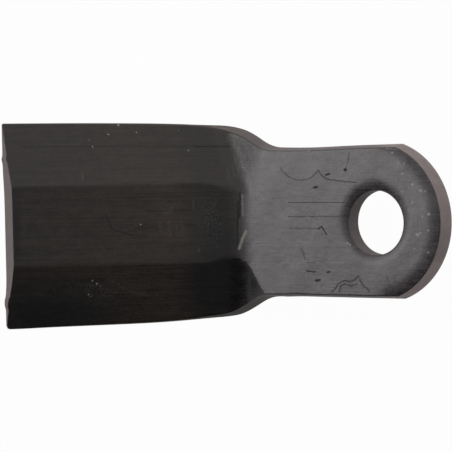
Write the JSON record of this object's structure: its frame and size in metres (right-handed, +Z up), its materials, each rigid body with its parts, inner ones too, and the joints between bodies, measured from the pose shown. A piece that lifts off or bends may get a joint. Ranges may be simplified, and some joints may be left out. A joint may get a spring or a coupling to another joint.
{
  "type": "hammer mill blade",
  "caption": "Forged swing hammer for a flail or hammer mill: flat shank with a pivot bore, bent into a wide paddle with thin forged wings.",
  "frame": {"origin": "middle of the pivot bore, on its axis and half way through the shank", "axes": "+X level, from the paddle toward the shank's tip; +Z up, with the flat back of the paddle facing down; +Y across the blade"},
  "size_m": [0.1768, 0.0844, 0.0652],
  "materials": {
    "black_paint": "thin semi-gloss black paint over forged steel, with marks of the forging showing through"
  },
  "bodies": {
    "root": {"hammer_blade": "black_paint"}
  },
  "joints": []
}
